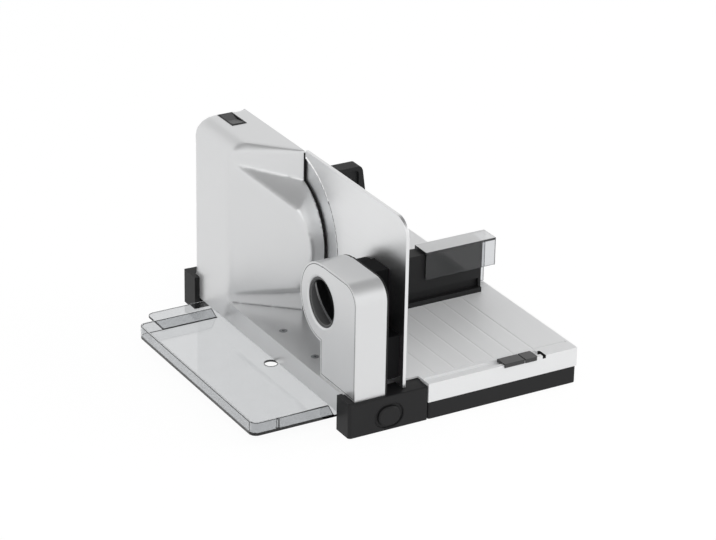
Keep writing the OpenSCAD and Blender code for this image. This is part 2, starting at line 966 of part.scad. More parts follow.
// fin across the knob, with a crowned top edge, before it is trimmed to the cup
module knob_grip() {
    translate([col_left + grip_crown_r, knob_y, knob_z]) rotate([grip_angle, 0, 0])
        translate([0, 0, -grip_w / 2]) cylinder(h = grip_w, r = grip_crown_r);
}

module thickness_knob() color("#262627") on_bench() {
    difference() {
        union() {
            bar_x(knob_face, knob_back, knob_r, [knob_y, knob_z]);
            bar_x(knob_flange[0], knob_flange[1], knob_flange_r, [knob_y, knob_z]);
        }
        bar_x(knob_face - over, knob_floor, knob_r - knob_rim, [knob_y, knob_z]);
    }
    intersection() {
        knob_grip();
        bar_x(col_left - over, knob_floor + over, knob_r - knob_rim + over, [knob_y, knob_z]);
    }
}

module knob_spindle() color(steel) on_bench() difference() {
    bar_x(knob_back, spindle_end, spindle_r, [knob_y, knob_z]);
    for (x = [knob_back + thread_pitch : thread_pitch : spindle_end - thread_pitch / 2]) difference() {
        bar_x(x - thread_depth, x + thread_depth, spindle_r + over, [knob_y, knob_z]);
        bar_x(x - thread_depth - over, x + thread_depth + over, spindle_r - thread_depth, [knob_y, knob_z]);
    }
}

module gauge_plate() color(steel) on_bench() difference() {
    along_x(plate_left, plate_right) difference() {
        soft_rect([plate_front, plate_bottom], [plate_top_back, plate_top], [0, 0, 0, plate_front_r]);
        translate([axis_y, axis_z]) circle(plate_clear_r);
    }
    // slope on the back, so that the edge beside the blade is thin
    bar_x(
        plate_left - over, plate_left + plate_bevel, plate_clear_r + plate_bevel + over,
        [axis_y, axis_z], plate_clear_r
    );
}

module plate_carrier() color(black) on_bench() difference() {
    union() {
        difference() {
            bar_x(drum_left, plate_left, drum_r, [knob_y, knob_z]);
            bar_x(drum_left - over, plate_left - drum_floor, drum_r - drum_wall, [knob_y, knob_z]);
        }
        block([drum_left, tower_y[0], tower_z[0]], [plate_left, tower_y[1], tower_z[1]]);
        bar_x(nut_left, nut_right, nut_r, [knob_y, knob_z]);
        block([tongue_left, tongue_y[0], tongue_z[0]], [plate_left, tongue_y[1], tongue_z[1]]);
        block([drum_left, tongue_y[0], tongue_z[0]], [plate_left, tongue_y[1], bridge_top]);
    }
    cell = (tongue_y[1] - tongue_y[0] - 3 * tongue_wall) / 2;
    for (y = [tongue_y[0] + tongue_wall, tongue_y[1] - tongue_wall - cell])
        block(
            [tongue_left - over, y, tongue_z[0] + tongue_wall],
            [plate_left - drum_floor, y + cell, tongue_z[1] - tongue_wall]
        );
    bar_x(nut_left - over, nut_right, nut_bore_r, [knob_y, knob_z]);
}

// Carriage

module carriage_table() color(silver) on_bench() {
    difference() {
        union() {
            block([table_left, table_notch_y, table_top - table_t], [table_right, table_back, table_top]);
            block([table_notch_x, 0, table_top - table_t], [table_right, table_back, table_top]);
            block([table_notch_x, 0, skirt_bottom], [table_right, skirt_t, table_top]);
            block([table_right - skirt_t, 0, skirt_bottom], [table_right, table_back, table_top]);
            block([table_notch_x, table_back - skirt_t, skirt_bottom], [table_right, table_back, table_top]);
            block(
                [table_notch_x, 0, table_top - table_t - channel_floor],
                [channel_x[1] + latch_slot_w + skirt_t, channel_y[1] + skirt_t, table_top - table_t]
            );
        }
        block(
            [channel_x[0], channel_y[0], table_top - channel_floor],
            [channel_x[1], channel_y[1], table_top + over]
        );
        // slot across the front strip, where the lock's catch is set in
        along_z(latch_slot_bottom, table_top + over) translate([channel_x[1], 0]) {
            translate([0, -over]) square([latch_slot_w, latch_slot_back - latch_slot_w / 2 + over]);
            translate([latch_slot_w / 2, latch_slot_back - latch_slot_w / 2]) circle(latch_slot_w / 2);
        }
        // shallow round grooves
        for (i = [0 : groove_n - 1])
            bar_y(cross_y, table_back + over, groove_r, [groove_x + i * groove_pitch, groove_z]);
        bar_x(cross_x[0], cross_x[1], groove_r, [cross_y, groove_z]);
    }
}

// cross-section of slider and cover: bridge over the front strip, keel in the channel
module slider_outline() {
    under = table_top + gap;
    polygon([
        [slider_front, slider_lip_z], [slider_lip_back, slider_lip_z], [slider_lip_back, under],
        [channel_y[0] + slider_gap, under], [channel_y[0] + slider_gap, table_top - channel_floor + gap],
        [channel_y[1] - slider_gap, table_top - channel_floor + gap],
        [channel_y[1] - slider_gap, slider_top], [slider_front, slider_top],
    ]);
}

module lock_slider() color("#333335") on_bench() {
    along_x(slider_x[0], slider_x[1]) slider_outline();
}

module lock_cover() color("#333335") on_bench() intersection() {
    union() {
        along_x(cover_x[0], cover_x[1]) slider_outline();
        block(
            [cover_x[0], channel_y[0] + slider_gap, table_top - channel_floor],
            [cover_x[1], channel_y[1] - slider_gap, slider_top]
        );
    }
    along_z(slider_lip_z, slider_top) soft_rect(
        [cover_x[0], slider_front], [cover_x[1], channel_y[1] - slider_gap],
        [0, slider_end_r, slider_end_r, 0]
    );
}

module wall_profile() {
    foot_y = wall_top + guard_foot_r;
    difference() {
        union() {
            polygon([
                [wall_left, table_top], [guard_x[2] + guard_foot_r, table_top],
                [guard_x[2] + guard_foot_r, foot_y], [guard_x[2], foot_y],
                [guard_x[2], wall_top + guard_bend_up], [guard_x[1], guard_top - guard_bend_down],
                [guard_x[0], guard_top], [wall_left, guard_top],
            ]);
            translate([wall_left, table_top]) square([wall_right - wall_left, wall_top - table_top]);
        }
        translate([guard_x[2] + guard_foot_r, foot_y]) circle(guard_foot_r);
        translate([guard_x[0], guard_top]) rotate(180) corner_cut(guard_corner_r);
    }
}

module carriage_wall() color(black) on_bench() {
    difference() {
        union() {
            along_y(wall_front, wall_back) wall_profile();
            block([wall_left, wall_foot_front, table_top], [wall_right, wall_back, wall_foot_top]);
        }
        // the guard is thinner than the wall
        block(
            [wall_left - over, guard_back, wall_top],
            [guard_x[2] + guard_foot_r, wall_back + over, guard_top + over]
        );
        // set-back band above the foot
        block(
            [wall_left - over, wall_front - over, wall_foot_top],
            [wall_right - wall_end_t, wall_front + wall_band_in, wall_band_top]
        );
        // sunk panel of the guard
        along_y(wall_front - over, wall_front + guard_panel_depth) soft_rect(
            [wall_left + guard_frame, wall_top + guard_frame],
            [guard_x[0] - guard_frame, guard_top - guard_frame],
            all_four(guard_corner_r)
        );
        // hollow of the wall, open to the table
        for (i = [0 : wall_rib_n - 1]) {
            cell = (wall_right - wall_left - wall_skin) / wall_rib_n;
            x = wall_left + wall_skin + i * cell;
            block(
                [x, wall_front + wall_band_in + wall_skin, table_top - over],
                [x + cell - wall_skin, wall_back - wall_skin, wall_top - wall_skin]
            );
        }
    }
}

module glide_bushes() color("#8c8f92") on_bench() {
    for (y = [axis_y - bush_in[0], axis_y - bush_in[1]]) difference() {
        block([bush_x[0], y, bush_z0], [bush_x[1], y + bush_l, table_top - table_t]);
        bar_y(y - over, y + bush_l + over, rod_r + run_fit, [rod_x, rod_z]);
    }
}

module glide_pads() color("#e6e4de") on_bench() {
    for (y = pad_ys) block([pad_x[0], y, skirt_bottom], [pad_x[1], y + pad_l, table_top - table_t]);
}

module remnant_holder() color(smoke, 0.55) on_bench() {
    along_x(holder_x[0], holder_x[1]) polygon([
        [holder_front, holder_lip_z], [holder_front_in, holder_lip_z], [holder_front_in, holder_top[0]],
        [holder_back_in, holder_top[0]], [holder_back_in, holder_back_z], [holder_back, holder_back_z],
        [holder_back, holder_top[1]], [holder_front, holder_top[1]],
    ]);
    along_x(holder_x[0], holder_x[0] + pusher_t) polygon([
        [holder_back, holder_back_z], [pusher_y, holder_back_z],
        [pusher_y, holder_back_z + pusher_h[0]], [holder_back, holder_back_z + pusher_h[1]],
    ]);
    for (i = [0 : spike_n[0] - 1], j = [0 : spike_n[1] - 1])
        bar_x(
            holder_x[0] - spike_l, holder_x[0], edge_t,
            [
                holder_back + spike_from[0] + i * spike_pitch[0],
                holder_back_z + spike_from[1] + j * spike_pitch[1],
            ],
            spike_r
        );
}

// Push button, its switch and the tray

module push_button() color("#303032") on_bench() {
    rim = button_front + button_bevel;
    along_y(rim, button_wall_back + gap) oval([button_x, button_z], button_r, button_half);
    oval_cone(
        button_front, rim, button_r - button_bevel, button_r, button_half, [button_x, button_z]
    );
    translate([button_x, 0, button_z])
        block(
            [-button_flange.x / 2, button_wall_back + gap, -button_flange.y / 2],
            [button_flange.x / 2, button_wall_back + gap + button_flange_t, button_flange.y / 2]
        );
    bar_y(button_wall_back, button_stem_end, button_stem_r, [button_x, button_z]);
}

module micro_switch() color("#3c3c3f") on_bench() difference() {
    block(
        [button_x - micro_half_x, micro_front, button_z - cavity_half_z],
        [button_x + micro_half_x, micro_back, micro_top]
    );
    bar_y(micro_front - over, micro_front + micro_bore_depth, button_stem_r + run_fit, [button_x, button_z]);
}

module slice_tray() color(smoke, 0.55) on_bench() {
    r = tray_corner_r;
    difference() {
        union() {
            along_z(tray_floor, tray_floor + tray_t) {
                soft_rect([tray_left, tray_front], [tray_tongue_x, tray_back], [r, 0, 0, r]);
                soft_rect([tray_rear_left, tray_back - r], [tray_tongue_x, tray_rear_back], [0, 0, 0, r]);
            }
            intersection() {
                along_z(tray_floor, tray_top) difference() {
                    soft_rect([tray_left, tray_front], [tray_tongue_x, tray_back], [r, 0, 0, r]);
                    soft_rect(
                        [tray_left + tray_t, tray_front + tray_t],
                        [tray_tongue_x + over, tray_back - tray_t],
                        [r - tray_t, 0, 0, r - tray_t]
                    );
                }
                along_y(tray_front, tray_back) polygon([
                    [tray_left, tray_floor], [tray_wall_foot_x, tray_floor],
                    [tray_wall_top_x, tray_top], [tray_left, tray_top],
                ]);
            }
            block(
                [tray_rib_x, tray_front + tray_t, tray_floor],
                [tray_rib_x + tray_t, tray_front + 2 * tray_t, tray_top - tray_t]
            );
        }
        translate([tray_hole.x, tray_hole.y, tray_floor - over])
            cylinder(h = tray_t + 2 * over, r = tray_hole_r);
    }
}

front_cap();
rear_cap();
base_beam();
beam_screws();
carriage_rest();
rubber_feet();
guide_rod();
motor_housing();
gear_frame();
frame_screws();
blade_bush();
switch_bezel();
switch_body();
motor_can();
column_shell();
column_back();
micro_switch();
cord_gland();
blade();
blade_gear();
blade_shaft();
blade_lock();
motor_rotor();
motor_pinion();
gauge_plate();
plate_carrier();
thickness_knob();
knob_spindle();
carriage_table();
carriage_wall();
glide_bushes();
glide_pads();
lock_cover();
lock_slider();
remnant_holder();
power_rocker();
push_button();
slice_tray();
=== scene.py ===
# %% [markdown]
# # An electric food slicer, from plain CAD to a studio picture
# The CAD model gives every part its true size and its joint. This lesson keeps that
# frame as it is and adds what a camera notices: softened edges, lacquer, brushed
# metal, smoke-coloured plastic, and the light of a small studio.

import json
import math

import bmesh
import bpy
from mathutils import Matrix, Vector


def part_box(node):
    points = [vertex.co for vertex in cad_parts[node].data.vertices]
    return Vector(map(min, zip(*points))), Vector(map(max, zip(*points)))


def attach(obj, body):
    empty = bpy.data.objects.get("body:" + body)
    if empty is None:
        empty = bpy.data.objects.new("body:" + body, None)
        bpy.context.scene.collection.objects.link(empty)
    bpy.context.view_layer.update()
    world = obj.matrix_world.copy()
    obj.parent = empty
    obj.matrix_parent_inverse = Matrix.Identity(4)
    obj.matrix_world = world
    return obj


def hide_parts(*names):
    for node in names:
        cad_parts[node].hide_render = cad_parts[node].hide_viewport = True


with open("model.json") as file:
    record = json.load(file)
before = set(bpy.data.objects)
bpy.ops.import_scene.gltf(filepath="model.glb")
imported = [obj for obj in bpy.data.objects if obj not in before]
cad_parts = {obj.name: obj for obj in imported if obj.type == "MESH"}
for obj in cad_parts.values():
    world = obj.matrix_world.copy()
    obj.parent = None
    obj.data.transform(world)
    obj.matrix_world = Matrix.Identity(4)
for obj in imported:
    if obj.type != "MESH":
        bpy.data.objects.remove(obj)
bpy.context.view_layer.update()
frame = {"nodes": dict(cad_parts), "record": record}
MM = 0.001

# %% [markdown]
# ## Places come from the parts
# A place that is typed twice will disagree with itself one day. The box of a CAD part
# says where it is, so each new piece asks the part that it sits on.

# %% Read a part's box
X, Y, Z = 0, 1, 2


def span(node, axis):
    low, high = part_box(node)
    return low[axis], high[axis]


def middle_of(node):
    return Vector([sum(span(node, axis)) / 2 for axis in (X, Y, Z)])


blade_axis = middle_of("blade_shaft")
floor_z = span("rubber_feet", Z)[0]
print("blade axis at", [round(v, 4) for v in blade_axis], "floor at", floor_z)

# %% [markdown]
# ## A copy stands for the part
# The CAD mesh is loose triangles, which no bevel can follow. It is left as it is, and
# a copy is worked on instead: its doubled points are merged, and triangles that lie in
# one plane are joined to whole faces. The finished copy rides on the body of its part
# and is shown in its place.

# %% Copy a part, and show the copy
SAME_POINT = 0.002 * MM
SAME_PLANE = math.radians(0.5)
pieces = {}


def merged_copy(node):
    """A copy of a CAD part as one closed mesh with whole flat faces."""
    shape = bmesh.new()
    shape.from_mesh(frame["nodes"][node].data)
    bmesh.ops.remove_doubles(shape, verts=shape.verts, dist=SAME_POINT)
    bmesh.ops.dissolve_limit(
        shape, angle_limit=SAME_PLANE, verts=shape.verts, edges=shape.edges
    )
    return shape


def body_of(node):
    bodies = frame["record"]["behaviour"]["bodies"]
    return next(body for body, nodes in bodies.items() if node in nodes)


def slot_of(node):
    entries = frame["record"]["subparts"]
    return next(entry["material_slot"] for entry in entries if entry["node"] == node)


def finish_piece(name, shape, node, smooth=38):
    """The bmesh becomes a piece that is shown in place of a CAD part."""
    mesh = bpy.data.meshes.new(name)
    shape.to_mesh(mesh)
    shape.free()
    mesh.shade_smooth()
    mesh.set_sharp_from_angle(angle=math.radians(smooth))
    piece = bpy.data.objects.new(name, mesh)
    bpy.context.scene.collection.objects.link(piece)
    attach(piece, body_of(node))
    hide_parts(node)
    pieces[node] = piece
    return piece


print("the knob rides on", body_of("thickness_knob"), "and wears", slot_of("thickness_knob"))

# %% [markdown]
# ## Softened edges
# No moulded or bent part has a knife-sharp edge: plastic has a radius of a few tenths
# of a millimetre or more, and sheet metal is deburred. Each radius could be modelled in
# CAD, but the Bevel modifier does it for a whole part at once. Weighted normals keep
# the big faces flat in the light.


# %% Round the edges of a piece
def even_shading(piece):
    """Normals that follow the big faces, so that they look flat."""
    piece.modifiers.new("Even shading", "WEIGHTED_NORMAL").keep_sharp = True
    return piece


def round_edges(piece, width, segments=3, angle=30, by_weight=False):
    """Rounds the edges that turn by more than an angle, or those that have a weight."""
    bevel = piece.modifiers.new("Edge radius", "BEVEL")
    bevel.width = width
    bevel.segments = segments
    bevel.limit_method = "WEIGHT" if by_weight else "ANGLE"
    bevel.angle_limit = math.radians(angle)
    bevel.use_clamp_overlap = True
    bevel.miter_outer = "MITER_ARC"
    bevel.harden_normals = False
    return even_shading(piece)


def softened(name, node, width):
    """A part with rounded edges in place of the CAD part."""
    return round_edges(finish_piece(name, merged_copy(node), node), width)


# %% Soften the parts that need nothing else
EDGE_RADIUS_MM = {
    "front_cap": 0.8,
    "rear_cap": 0.8,
    "carriage_rest": 0.5,
    "base_beam": 0.5,
    "gear_frame": 0.7,
    "column_back": 0.3,
    "plate_carrier": 0.6,
    "carriage_wall": 0.8,
    "lock_cover": 0.4,
    "lock_slider": 0.4,
    "switch_bezel": 0.2,
    "cord_gland": 0.5,
    "blade_lock": 0.3,
    "rubber_feet": 0.4,
    "gauge_plate": 0.6,
}
for node, radius in EDGE_RADIUS_MM.items():
    softened(node + "_soft", node, radius * MM)
print("softened:", ", ".join(pieces))

# %% [markdown]
# ## A housing whose faces flow into each other
# The housing's flat faces meet in wide, soft folds, far wider than a bevel can follow
# round the corners. So the copy is cut into small cells, like a cake, by planes in all
# three directions. Its outer skin is then smoothed again and again: flat areas stay
# flat, because each point already lies between its neighbours, and only the folds
# relax. The rim, the foot and the switch opening are left out, since other parts sit
# there.

# %% Cut a part into cells
ON_PLANE = 0.01 * MM
NEAR = 0.05 * MM


def cut_along(shape, point, direction):
    """Cuts every face that a plane goes through."""
    everything = shape.verts[:] + shape.edges[:] + shape.faces[:]
    bmesh.ops.bisect_plane(
        shape, geom=everything, dist=ON_PLANE, plane_co=point, plane_no=direction
    )


def cut_in_cells(shape, node, cell):
    for axis in (X, Y, Z):
        low, high = span(node, axis)
        direction = Vector([float(axis == i) for i in (X, Y, Z)])
        for step in range(1, int((high - low) / cell) + 1):
            cut_along(shape, direction * (low + step * cell), direction)


cell_size = 2.5 * MM
housing = merged_copy("motor_housing")
cut_in_cells(housing, "motor_housing", cell_size)
print("housing:", len(housing.faces), "faces after the cuts")


# %% Let the outer skin relax
def inside(point, box, margin):
    return all(low - margin < c < high + margin for c, low, high in zip(point, *box))


def outer_skin(shape, closed):
    """Points of the skin that is reached from the leftmost face; closed faces stop it."""
    start = min(shape.faces, key=lambda face: face.calc_center_median().x)
    skin, queue = {start}, [start]
    while queue:
        for edge in queue.pop().edges:
            for face in edge.link_faces:
                if face not in skin and not closed(face):
                    skin.add(face)
                    queue.append(face)
    return {v for face in skin for v in face.verts if all(f in skin for f in v.link_faces)}


rim_x = span("motor_housing", X)[1]
foot_z = span("motor_housing", Z)[0]
switch_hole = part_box("switch_bezel")
switch_margin = 0.2 * MM


def stops_the_walk(face):
    middle = face.calc_center_median()
    at_rim = middle.x > rim_x - NEAR
    at_foot = middle.z < foot_z + NEAR
    return at_rim or at_foot or inside(middle, switch_hole, switch_margin)


relax_times = 14
free = list(outer_skin(housing, stops_the_walk))
for _ in range(relax_times):
    bmesh.ops.smooth_vert(
        housing, verts=free, factor=0.5, use_axis_x=True, use_axis_y=True, use_axis_z=True
    )
print("housing:", len(free), "points relaxed")

# %% [markdown]
# ## The rim of the hood
# On the real machine only a thin dark line is left between the hood and the blade. The
# CAD leaves the moving blade more air, and the gap looked too wide in the picture, so
# the rim is drawn out a little towards the blade. It still ends short of it.

# %% Draw the rim out and finish the housing
rim_reach = 0.9 * MM
for vert in housing.verts:
    if vert.co.x > rim_x - NEAR:
        vert.co.x += rim_reach
finish_piece("housing_shell", housing, "motor_housing")
air = span("blade", X)[0] - rim_x - rim_reach
print("rim drawn out by", rim_reach / MM, "mm, air to the blade", round(air / MM, 2), "mm")

# %% [markdown]
# ## The column and its seam
# The left face of the column is let in like a cover, and a fine dark seam runs round it
# near the edge. A painted line would do from afar, but a real groove also changes with
# the light. So the faces of the cover are inset, then inset twice more by half the
# groove's width, and the line between those two is pushed in. Round the hole for the
# knob there is no seam. Each face of the groove gets the value 1 in an attribute, and
# the finish paints those faces near black: painted shade in the groove, over the shade
# of the real groove. The Bevel modifier would round the groove away too, so it follows
# weights that only the column's own sharp edges carry.

# %% The column
hub = middle_of("knob_spindle")
cover_x = span("column_shell", X)[0]
edge_to_seam = 1.8 * MM
groove_width = 0.6 * MM
groove_depth = 0.5 * MM
hole_to_seam = 3 * MM
column_radius = 1.5 * MM
sharp = math.radians(50)


def from_hub(vert):
    return math.hypot(vert.co.y - hub.y, vert.co.z - hub.z)


def points_of(faces):
    return {vert for face in faces for vert in face.verts}


def inset(shape, faces, width):
    """Moves the outline of some faces inwards, and returns the strip that this leaves."""
    made = bmesh.ops.inset_region(shape, faces=faces, thickness=width, use_even_offset=True)
    return made["faces"]


column = merged_copy("column_shell")
gap_shade_mark = column.faces.layers.float.new("gap")
weight = column.edges.layers.float.new("bevel_weight_edge")
cover = [f for f in column.faces if all(v.co.x < cover_x + NEAR for v in f.verts)]
inset(column, cover, edge_to_seam)
outer_half = inset(column, cover, groove_width / 2)
inner_half = inset(column, cover, groove_width / 2)
for edge in column.edges:
    if edge.calc_face_angle(0) > sharp:
        edge[weight] = 1.0

hole_r = min(map(from_hub, points_of(cover)))
beyond = hole_r + hole_to_seam
seam = [f for f in outer_half + inner_half if min(map(from_hub, f.verts)) > beyond]
# The finish paints these groove faces near black: painted shade.
for face in seam:
    face[gap_shade_mark] = 1.0
for vert in points_of(outer_half) & points_of(inner_half) & points_of(seam):
    vert.co.x += groove_depth
column_piece = finish_piece("column_shell_soft", column, "column_shell")
round_edges(column_piece, column_radius, segments=4, by_weight=True)
print("column: seam of", len(seam), "faces, hole radius", round(hole_r / MM, 1), "mm")

# %% [markdown]
# ## The table, with a slot for the lock's catch
# Beside the lock the table has a narrow slot, a few millimetres deep, for the lock's
# catch. The CAD part has it already, but light barely finds its way out of such a slot,
# and a bright metal finish alone would show it too pale. So its faces get the same
# attribute as the column's seam. The slot's floor is the only flat face at its depth,
# which finds the place without typing it.

# %% The table
table_radius = 0.45 * MM
shallowest_floor = 2.5 * MM
deepest_floor = 4 * MM
below_top = 0.1 * MM
slot_margin = 0.02 * MM
faces_up = 0.9
table = merged_copy("carriage_table")
gap_shade_mark = table.faces.layers.float.new("gap")
table_top = span("carriage_table", Z)[1]


def is_slot_floor(face):
    depth = table_top - face.calc_center_median().z
    return face.normal.z > faces_up and shallowest_floor < depth < deepest_floor


around = [v.co for v in points_of(filter(is_slot_floor, table.faces))]
slot = [[pick(c[axis] for c in around) for axis in (X, Y, Z)] for pick in (min, max)]
slot[1][Z] = table_top - below_top
# The finish paints the slot's faces near black: painted shade.
for face in table.faces:
    if inside(face.calc_center_median(), slot, slot_margin):
        face[gap_shade_mark] = 1.0
round_edges(finish_piece("carriage_table_soft", table, "carriage_table"), table_radius)
print("table: slot", [round((high - low) / MM, 1) for low, high in zip(*slot)], "mm")

# %% [markdown]
# ## The two switches
# The push button is a flat oval key with a small radius, and the rocker is a thicker
# one with a wider radius. Both are plain mouldings, so the modifier that softens the
# other parts is all they need. They are kept apart because each has its own finish.

# %% The switches
softened("button_soft", "push_button", width=0.3 * MM)
softened("rocker_soft", "power_rocker", width=0.5 * MM)
print("softened:", pieces["push_button"].name, pieces["power_rocker"].name)

# %% [markdown]
# ## The knob
# The knob is a cup with a grip across it, and its rim rolls into the cup in a wide,
# glossy curve. The modifier has one width for a whole piece, so the ring of edges
# between rim and cup is bevelled on the copy first, and the modifier then rounds the
# rest. The wall of the cup is grained, and its faces are marked for the finish.

# %% The knob: its rim rolls inward to the cup
rolled_width = 1.4 * MM
rim_share = 0.7
same_ring = 0.1 * MM
in_face = 0.02 * MM


def bevel_edges(shape, edges, width, segments):
    """Bevels edges of the mesh itself, and returns the faces that this makes."""
    made = bmesh.ops.bevel(
        shape, geom=edges, offset=width, offset_type="OFFSET", segments=segments,
        profile=0.5, affect="EDGES", clamp_overlap=True, material=-1,
    )
    return made["faces"]


knob = merged_copy("thickness_knob")
flange_r = max(map(from_hub, knob.verts))
outer = [v for v in knob.verts if from_hub(v) > rim_share * flange_r]
rim_face = min(v.co.x for v in outer)
rim = [v for v in outer if abs(v.co.x - rim_face) < in_face]
cup_r = min(map(from_hub, rim))
cup_edge = {v for v in rim if from_hub(v) < cup_r + same_ring}
rolled = [e for e in knob.edges if all(v in cup_edge for v in e.verts)]
bevel_edges(knob, rolled, rolled_width, segments=5)
print("knob: cup radius", round(cup_r / MM, 2), "mm,", len(rolled), "edges rolled")

# %% Mark the wall of the cup and finish the knob
knob_radius = 0.4 * MM
faces_axis = 0.6
beyond_grip = 0.6 * cup_r
knob.normal_update()
# The knob's finish paints the marked wall paler: painted light.
wall_mark = knob.faces.layers.float.new("wall")
for face in knob.faces:
    from_axis = (face.calc_center_median() - hub).yz
    inward = -from_axis.dot(face.normal.yz)
    if from_axis.length > beyond_grip and inward > faces_axis * from_axis.length:
        face[wall_mark] = 1.0
print("knob:", sum(face[wall_mark] > 0 for face in knob.faces), "faces in the cup's wall")
knob_piece = finish_piece("knob_rolled", knob, "thickness_knob")
round_edges(knob_piece, knob_radius, segments=2, angle=50)

# %% [markdown]
# ## Clear parts keep a mark on their edges
# Seen from the side, clear plastic is thick, so its edges look dark. The edges of tray
# and holder are bevelled on the copy, and each face that the bevel makes gets the value
# 1 in an attribute, and the finish paints these faces near black: painted shade for the
# dark look of thick clear edges. The holder's roof is thick too: a band below it, on the
# two sides that look to the front and the left, gets the same mark and painted shade.

# %% Tray and holder
corner_angle = math.radians(30)
faces_out = 0.5


def clear_part(name, node, width, band=0.0):
    shape = merged_copy(node)
    mark = shape.faces.layers.float.new("edge")
    corners = [e for e in shape.edges if e.calc_face_angle(0) > corner_angle]
    for face in bevel_edges(shape, corners, width, segments=2):
        face[mark] = 1.0
    # The finish paints this band dark as well: painted shade.
    if band:
        band_z = span(node, Z)[1] - band
        cut_along(shape, (0, 0, band_z), (0, 0, 1))
        for face in shape.faces:
            if face.calc_center_median().z > band_z and min(face.normal.xy) < -faces_out:
                face[mark] = 1.0
    return even_shading(finish_piece(name, shape, node, smooth=50))


clear_part("tray_clear", "slice_tray", width=0.55 * MM)
clear_part("holder_clear", "remnant_holder", width=0.6 * MM, band=2.4 * MM)
print("clear parts:", pieces["slice_tray"].name, pieces["remnant_holder"].name)

# %% [markdown]
# ## Shader arithmetic in plain Python
# A procedural finish is mostly arithmetic on numbers that change over the surface.
# Written as nodes it is hard to read, so a small class wraps a socket and lets
# Python's own operators add the Math nodes: `1 - mask` becomes one Subtract node.


# %% A wire between nodes
class Wire:
    """A number that varies over the surface."""

    def __init__(self, tree, socket):
        self.tree = tree
        self.socket = socket

    def join(self, operation, *values):
        node = self.tree.nodes.new("ShaderNodeMath")
        node.operation = operation
        for socket, value in zip(node.inputs, values):
            feed(self.tree, socket, value)
        return Wire(self.tree, node.outputs[0])

    def __add__(self, other):
        return self.join("ADD", self, other)

    def __radd__(self, other):
        return self.join("ADD", other, self)

    def __sub__(self, other):
        return self.join("SUBTRACT", self, other)

    def __rsub__(self, other):
        return self.join("SUBTRACT", other, self)

    def __mul__(self, other):
        return self.join("MULTIPLY", self, other)

    def __rmul__(self, other):
        return self.join("MULTIPLY", other, self)

    def __gt__(self, other):
        return self.join("GREATER_THAN", self, other)

    def __lt__(self, other):
        return self.join("LESS_THAN", self, other)


def feed(tree, socket, value):
    """Links a wire or a socket, or writes a plain value; a colour is made opaque."""
    if isinstance(value, Wire):
        tree.links.new(value.socket, socket)
    elif isinstance(value, bpy.types.NodeSocket):
        tree.links.new(value, socket)
    else:
        socket.default_value = (*value, 1) if socket.type == "RGBA" else value


print("a wire takes + - * > < with a wire or a number on either side")

# %% [markdown]
# ## One class for a finish
# A finish is one material: the Principled shader, and methods for the few nodes that
# every finish here shares. Noise gives the unevenness, Object coordinates tie it to the
# part so that it moves with it, and a mark reads an attribute of the faces.


# %% A tree of nodes, and a finish
class Graph:
    """A tree of nodes, of a material or of the world."""

    def __init__(self, owner):
        owner.use_nodes = True
        self.tree = owner.node_tree

    def node(self, kind, settings, sockets):
        """Any node: its settings first, then what goes into its sockets."""
        node = self.tree.nodes.new(kind)
        for name, value in settings.items():
            setattr(node, name, value)
        for name, value in sockets.items():
            feed(self.tree, node.inputs[name], value)
        return node

    def wire(self, node, output=0):
        return Wire(self.tree, node.outputs[output])


# A Mix node has sockets for numbers, vectors and colours: these are for colours.
MIX_AMOUNT, MIX_LOW, MIX_HIGH, MIX_RESULT = 0, 6, 7, 2
# Near black for the faces of seams and slots: painted shade, where light hardly gets in.
PAINTED_GAP_SHADE = (0.03, 0.03, 0.03)


class Finish(Graph):
    """One material: a Principled shader and the nodes that drive it."""

    def __init__(self, name, constants):
        self.material = bpy.data.materials.new(name)
        super().__init__(self.material)
        self.shader = self.tree.nodes["Principled BSDF"]
        for socket, value in constants.items():
            self.drive(socket, value)

    def drive(self, socket, value):
        feed(self.tree, self.shader.inputs[socket], value)

    def vector(self, operation, first, second):
        sockets = {0: first, 1: second}
        return self.node("ShaderNodeVectorMath", {"operation": operation}, sockets).outputs[0]

    def place(self, stretch=(1, 1, 1), centre=(0, 0, 0)):
        """Object coordinates in metres, moved to a centre and stretched."""
        source = self.node("ShaderNodeTexCoord", {}, {}).outputs["Object"]
        return self.vector("MULTIPLY", self.vector("SUBTRACT", source, centre), stretch)

    def noise(self, scale, detail=2.0, at=None):
        """Soft noise from 0 to 1, about 0.5 on average."""
        sockets = {"Scale": scale, "Detail": detail, "Roughness": 0.55}
        sockets["Vector"] = self.place() if at is None else at
        return self.wire(self.node("ShaderNodeTexNoise", {}, sockets))

    def mark(self, attribute):
        """The value of a face attribute: 1 on marked faces, 0 on all others."""
        node = self.node("ShaderNodeAttribute", {"attribute_name": attribute}, {})
        return self.wire(node, "Fac")

    def blend(self, amount, low, high):
        """A colour between two colours."""
        sockets = {MIX_AMOUNT: amount, MIX_LOW: low, MIX_HIGH: high}
        return self.node("ShaderNodeMix", {"data_type": "RGBA"}, sockets).outputs[MIX_RESULT]

    def paint_shade_in_gaps(self, colour):
        """The colour, painted near black on the faces that are marked as a gap: painted shade.
        """
        return self.blend(self.mark("gap"), colour, PAINTED_GAP_SHADE)

    def bump(self, height, depth, strength):
        """Relief: a height from 0 to 1 that is depth metres tall."""
        sockets = {"Strength": strength, "Distance": depth, "Height": height}
        self.drive("Normal", self.node("ShaderNodeBump", {}, sockets).outputs["Normal"])


def shade_of(tint, share):
    """A tint made darker or lighter by a share."""
    return [channel * share for channel in tint]


print("a finish has", ", ".join(name for name in vars(Finish) if name[0] != "_"))

# %% [markdown]
# ## Silver lacquer
# The housing, column and beam wear the same silver: aluminium flakes in a clear
# binder. Up close the flakes make a fine sparkle, and from a step away the surface
# only looks satin, a little rough and a little uneven, as sprayed lacquer is.


